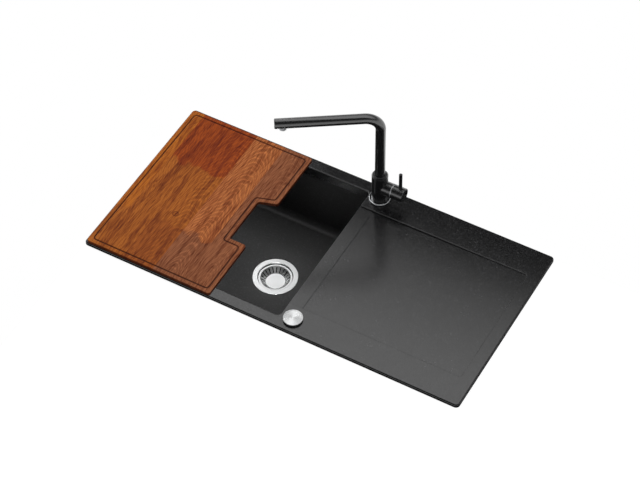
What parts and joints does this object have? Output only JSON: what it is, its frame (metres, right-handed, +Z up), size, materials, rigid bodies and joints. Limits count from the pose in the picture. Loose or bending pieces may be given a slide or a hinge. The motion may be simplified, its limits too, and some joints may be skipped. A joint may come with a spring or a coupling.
{
  "type": "kitchen sink with tap",
  "caption": "Black granite composite sink with bowl, drainer, swivel tap, push-button pop-up waste and a loose wooden chopping board across the rim.",
  "frame": {"origin": "middle of the sink's outline, on the worktop surface that the rim rests on", "axes": "+X along the sink towards the drainer, +Y towards the wall behind the tap, +Z up"},
  "size_m": [1, 0.5, 0.591],
  "materials": {
    "granite": "fine-textured black granite composite with pale specks",
    "board_wood": "oiled hardwood staves",
    "tap_black": "matt black",
    "tap_chrome": "polished",
    "steel": "brushed",
    "zinc_steel": "zinc plated",
    "brass": "turned",
    "rubber": "moulded",
    "waste_plastic": "moulded",
    "disc_ceramic": "lapped"
  },
  "bodies": {
    "sink": {"sink_body": "granite", "tap_body": "tap_black", "tap_base_ring": "tap_chrome", "cartridge_nut": "tap_chrome", "strainer_flange": "steel", "clamp_claws": "zinc_steel", "clamp_screws": "zinc_steel", "flange_gasket": "rubber", "waste_gasket": "rubber", "waste_body": "waste_plastic", "waste_screws": "steel", "rocker_pin": "zinc_steel", "waste_cable_gland": "waste_plastic", "overflow_cover": "steel", "overflow_screw": "steel", "overflow_gasket": "rubber", "overflow_elbow": "waste_plastic", "control_sleeve": "waste_plastic", "control_gasket": "rubber", "control_washer": "rubber", "control_nut": "waste_plastic", "control_spring": "zinc_steel", "control_cable_gland": "waste_plastic", "tap_base_gasket": "rubber", "tap_stud": "zinc_steel", "horseshoe_washer": "rubber", "horseshoe_plate": "zinc_steel", "stud_nut": "brass", "cartridge_body": "waste_plastic", "fixed_disc": "disc_ceramic", "spout_bush": "waste_plastic", "spout_set_screw": "zinc_steel"},
    "spout": {"spout": "tap_black", "aerator_ring": "tap_black", "aerator_screen": "waste_plastic", "spout_o_rings": "rubber"},
    "mixer": {"cartridge_rotor": "waste_plastic", "moving_disc": "disc_ceramic", "lever_pivot_pin": "zinc_steel"},
    "lever": {"lever_hub": "tap_black", "lever_pin": "tap_black", "lever_stem": "brass", "lever_set_screw": "zinc_steel"},
    "board": {"chopping_board": "board_wood"},
    "button": {"control_button": "steel"},
    "lift": {"lift_pin": "zinc_steel"},
    "rocker": {"lift_rocker": "waste_plastic"},
    "basket": {"strainer_basket": "steel", "basket_seal": "rubber"}
  },
  "joints": [
    {"name": "spout_swivel", "type": "hinge", "parent": "sink", "child": "spout", "pos_m": [0.0495, 0.212, 0.1], "axis": [0, 0, 1], "continuous": true},
    {"name": "mixer_turn", "type": "hinge", "parent": "sink", "child": "mixer", "pos_m": [0.0495, 0.212, 0.054], "axis": [1, 0, 0], "range_deg": [-45, 45]},
    {"name": "lever_tip", "type": "hinge", "parent": "mixer", "child": "lever", "pos_m": [0.0725, 0.212, 0.054], "axis": [0, 1, 0], "range_deg": [0, 20]},
    {"name": "board_slide", "type": "slide", "parent": "sink", "child": "board", "axis": [1, 0, 0], "range_m": [0, 0.165]},
    {"name": "button_press", "type": "slide", "parent": "sink", "child": "button", "axis": [0, 0, 1], "range_m": [-0.003, 0], "stiffness_N_per_m": 1500, "springref_m": 0.006, "deforming": ["control_spring"]},
    {"name": "lift_rise", "type": "slide", "parent": "sink", "child": "lift", "axis": [0, 0, 1], "range_m": [0, 0.008]},
    {"name": "rocker_swing", "type": "hinge", "parent": "sink", "child": "rocker", "pos_m": [-0.131, -0.01166, -0.2317], "axis": [1, 0, 0], "range_deg": [0, 19.2]},
    {"name": "basket_lift_out", "type": "slide", "parent": "lift", "child": "basket", "axis": [0, 0, 1], "range_m": [0, 0.1]}
  ],
  "couplings": [
    {"joint": "lift_rise", "follows": "button_press", "ratio": -2.6666},
    {"joint": "rocker_swing", "follows": "button_press", "rad_per_m": -111.63}
  ]
}
